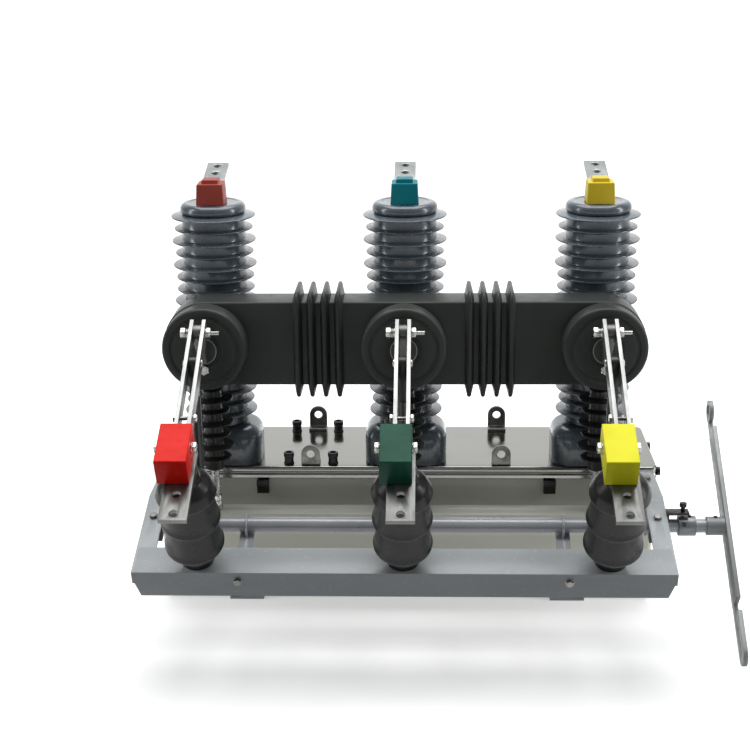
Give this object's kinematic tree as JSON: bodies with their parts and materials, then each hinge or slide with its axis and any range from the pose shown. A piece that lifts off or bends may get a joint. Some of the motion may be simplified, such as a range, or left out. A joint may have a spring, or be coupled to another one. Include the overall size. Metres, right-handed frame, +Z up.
{
  "type": "pole mounted recloser",
  "caption": "Outdoor three-phase recloser on a steel mechanism box, with a knife isolator on a sloping front frame and a side hand lever that swings the knives open.",
  "frame": {"origin": "middle of the four mounting holes, on the underside of the feet", "axes": "+X across the phases towards the hand lever, +Y to the rear, +Z up"},
  "size_m": [1.016, 0.7236, 0.8007],
  "materials": {
    "box_steel": "semi-gloss light grey",
    "frame_paint": "semi-gloss grey",
    "steel": "zinc plated",
    "dark_steel": "blackened",
    "silicone": "satin dark grey",
    "resin": "glossy dark cast resin",
    "tinned": "tinned bar",
    "red": "red",
    "teal": "dark teal",
    "green": "green",
    "yellow": "yellow",
    "bottle": "glazed"
  },
  "bodies": {
    "housing": {"mounting_feet": "frame_paint", "box_body": "box_steel", "box_lid": "box_steel", "lid_bolts": "dark_steel", "lid_latches": "dark_steel", "lifting_lugs": "steel", "lug_sleeves": "steel", "interrupters": "bottle", "phase_beam": "resin", "hinge_bolts": "steel", "front_member": "frame_paint", "rail_left": "frame_paint", "rail_right": "frame_paint", "cross_member": "frame_paint", "support_posts": "silicone", "post_studs": "steel", "frame_bolts": "steel", "shaft_bearings": "steel", "tube_guides": "steel", "lock_bracket": "dark_steel", "pole_base_left": "silicone", "pole_insulator_left": "silicone", "top_terminal_left": "tinned", "top_cover_left": "red", "hinge_lug_left": "tinned", "post_insulator_left": "silicone", "terminal_left": "tinned", "pole_base_middle": "silicone", "pole_insulator_middle": "silicone", "top_terminal_middle": "tinned", "top_cover_middle": "teal", "hinge_lug_middle": "tinned", "post_insulator_middle": "silicone", "terminal_middle": "tinned", "pole_base_right": "silicone", "pole_insulator_right": "silicone", "top_terminal_right": "tinned", "top_cover_right": "yellow", "hinge_lug_right": "tinned", "post_insulator_right": "silicone", "terminal_right": "tinned"},
    "shaft": {"operating_shaft": "frame_paint", "crank_pins": "steel", "coupling": "frame_paint", "set_screws": "dark_steel", "hand_lever": "frame_paint"},
    "lock": {"lock_pin": "dark_steel"},
    "left_knife": {"knife_left": "tinned", "knife_bolts_left": "steel", "knife_cover_left": "red"},
    "left_rod": {"drive_rod_left": "resin"},
    "middle_knife": {"knife_middle": "tinned", "knife_bolts_middle": "steel", "knife_cover_middle": "green"},
    "middle_rod": {"drive_rod_middle": "resin"},
    "right_knife": {"knife_right": "tinned", "knife_bolts_right": "steel", "knife_cover_right": "yellow"},
    "right_rod": {"drive_rod_right": "resin"}
  },
  "joints": [
    {"name": "shaft_turn", "type": "hinge", "parent": "housing", "child": "shaft", "pos_m": [0, -0.281, 0.225], "axis": [-1, 0, 0], "range_deg": [0, 60]},
    {"name": "left_knife_turn", "type": "hinge", "parent": "housing", "child": "left_knife", "pos_m": [-0.34, -0.29, 0.571], "axis": [-1, 0, 0], "range_deg": [0, 60]},
    {"name": "left_rod_turn", "type": "hinge", "parent": "shaft", "child": "left_rod", "pos_m": [-0.34, -0.34111, 0.19113], "axis": [-1, 0, 0], "range_deg": [-60, 0]},
    {"name": "middle_knife_turn", "type": "hinge", "parent": "housing", "child": "middle_knife", "pos_m": [0, -0.29, 0.571], "axis": [-1, 0, 0], "range_deg": [0, 60]},
    {"name": "middle_rod_turn", "type": "hinge", "parent": "shaft", "child": "middle_rod", "pos_m": [0, -0.34111, 0.19113], "axis": [-1, 0, 0], "range_deg": [-60, 0]},
    {"name": "right_knife_turn", "type": "hinge", "parent": "housing", "child": "right_knife", "pos_m": [0.34, -0.29, 0.571], "axis": [-1, 0, 0], "range_deg": [0, 60]},
    {"name": "right_rod_turn", "type": "hinge", "parent": "shaft", "child": "right_rod", "pos_m": [0.34, -0.34111, 0.19113], "axis": [-1, 0, 0], "range_deg": [-60, 0]},
    {"name": "lock_slide", "type": "slide", "parent": "housing", "child": "lock", "axis": [0, 0, -1], "range_m": [0, 0.0075]}
  ],
  "couplings": [
    {"joint": "left_knife_turn", "follows": "shaft_turn", "ratio": 1},
    {"joint": "left_rod_turn", "follows": "shaft_turn", "ratio": -1},
    {"joint": "middle_knife_turn", "follows": "shaft_turn", "ratio": 1},
    {"joint": "middle_rod_turn", "follows": "shaft_turn", "ratio": -1},
    {"joint": "right_knife_turn", "follows": "shaft_turn", "ratio": 1},
    {"joint": "right_rod_turn", "follows": "shaft_turn", "ratio": -1}
  ]
}
